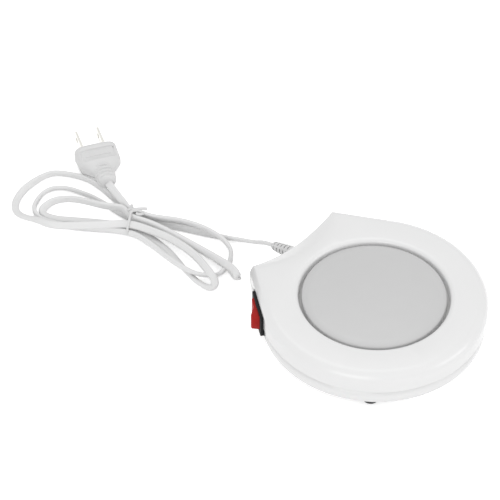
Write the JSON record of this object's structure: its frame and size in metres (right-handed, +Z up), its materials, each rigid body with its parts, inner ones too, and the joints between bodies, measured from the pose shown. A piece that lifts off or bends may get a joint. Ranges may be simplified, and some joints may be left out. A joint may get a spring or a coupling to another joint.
{
  "type": "electric mug warmer",
  "caption": "Round desktop mug warmer: grey heating plate in a white two-part case with rear horns, rocker switch on the flank and a tied flat cord with a plug.",
  "frame": {"origin": "on the surface the warmer stands on, under the centre of the heating plate", "axes": "+Z up out of the heating plate, +Y towards the back where the cord leaves, +X to the right seen from the front; the rocker switch is on the -X flank"},
  "size_m": [0.1395, 0.2829, 0.0263],
  "materials": {
    "case_white": "polished injection-moulded ABS",
    "plate_aluminium": "satin light grey coating on aluminium",
    "seal_rubber": "moulded silicone",
    "heater_mica": "mica sheet",
    "insulation_fibre": "pressed ceramic fibre",
    "zinc_steel": "zinc-plated steel",
    "screw_steel": "zinc-plated steel",
    "foot_rubber": "moulded rubber, fine texture",
    "switch_black": "fine-textured nylon",
    "rocker_red": "polished polycarbonate",
    "plunger_white": "moulded acetal",
    "contact_brass": "stamped",
    "thermostat_black": "moulded phenolic",
    "fuse_metal": "drawn can",
    "sleeve_fabric": "woven glass-fibre sleeving",
    "wire_brown": "insulation",
    "wire_blue": "insulation",
    "connector_plastic": "moulded nylon cap",
    "clamp_black": "moulded nylon",
    "cord_white": "satin flexible PVC",
    "tie_white": "coated wire ribbon",
    "blade_brass": "nickel-washed brass"
  },
  "bodies": {
    "case": {"top_cover": "case_white", "base_cover": "case_white", "heating_plate": "plate_aluminium", "plate_gasket": "seal_rubber", "heater_element": "heater_mica", "insulation_pad": "insulation_fibre", "pressure_plate": "zinc_steel", "stud_nuts": "zinc_steel", "support_bracket": "zinc_steel", "case_screws": "screw_steel", "bracket_screws": "screw_steel", "foot_front_left": "foot_rubber", "foot_front_right": "foot_rubber", "foot_rear_left": "foot_rubber", "foot_rear_right": "foot_rubber", "switch_housing": "switch_black", "switch_terminals": "contact_brass", "push_on_terminals": "contact_brass", "thermostat": "thermostat_black", "thermostat_clip": "zinc_steel", "thermal_fuse": "fuse_metal", "fuse_sleeve": "sleeve_fabric", "live_wire": "wire_brown", "neutral_wire": "wire_blue", "switched_wire": "wire_brown", "heater_link_wire": "wire_blue", "closed_end_connector": "connector_plastic", "cord_clamp": "clamp_black", "clamp_screws": "screw_steel", "strain_relief": "cord_white", "inner_cord": "cord_white", "cord_lead": "cord_white", "cord_hank": "cord_white", "cord_tail": "cord_white", "twist_tie": "tie_white", "plug_body": "cord_white", "plug_blades": "blade_brass"},
    "rocker": {"rocker": "rocker_red", "switch_plunger": "plunger_white"},
    "contact": {"contact_lever": "contact_brass"}
  },
  "joints": [
    {"name": "rocker_tilt", "type": "hinge", "parent": "case", "child": "rocker", "pos_m": [-0.04555, 0.04008, 0.0145], "axis": [0, 0, 1], "range_deg": [0, 28]},
    {"name": "contact_tilt", "type": "hinge", "parent": "case", "child": "contact", "pos_m": [-0.03823, 0.03537, 0.0145], "axis": [0, 0, 1], "range_deg": [-10, 0]}
  ],
  "couplings": [
    {"joint": "contact_tilt", "follows": "rocker_tilt", "ratio": -0.35714}
  ]
}
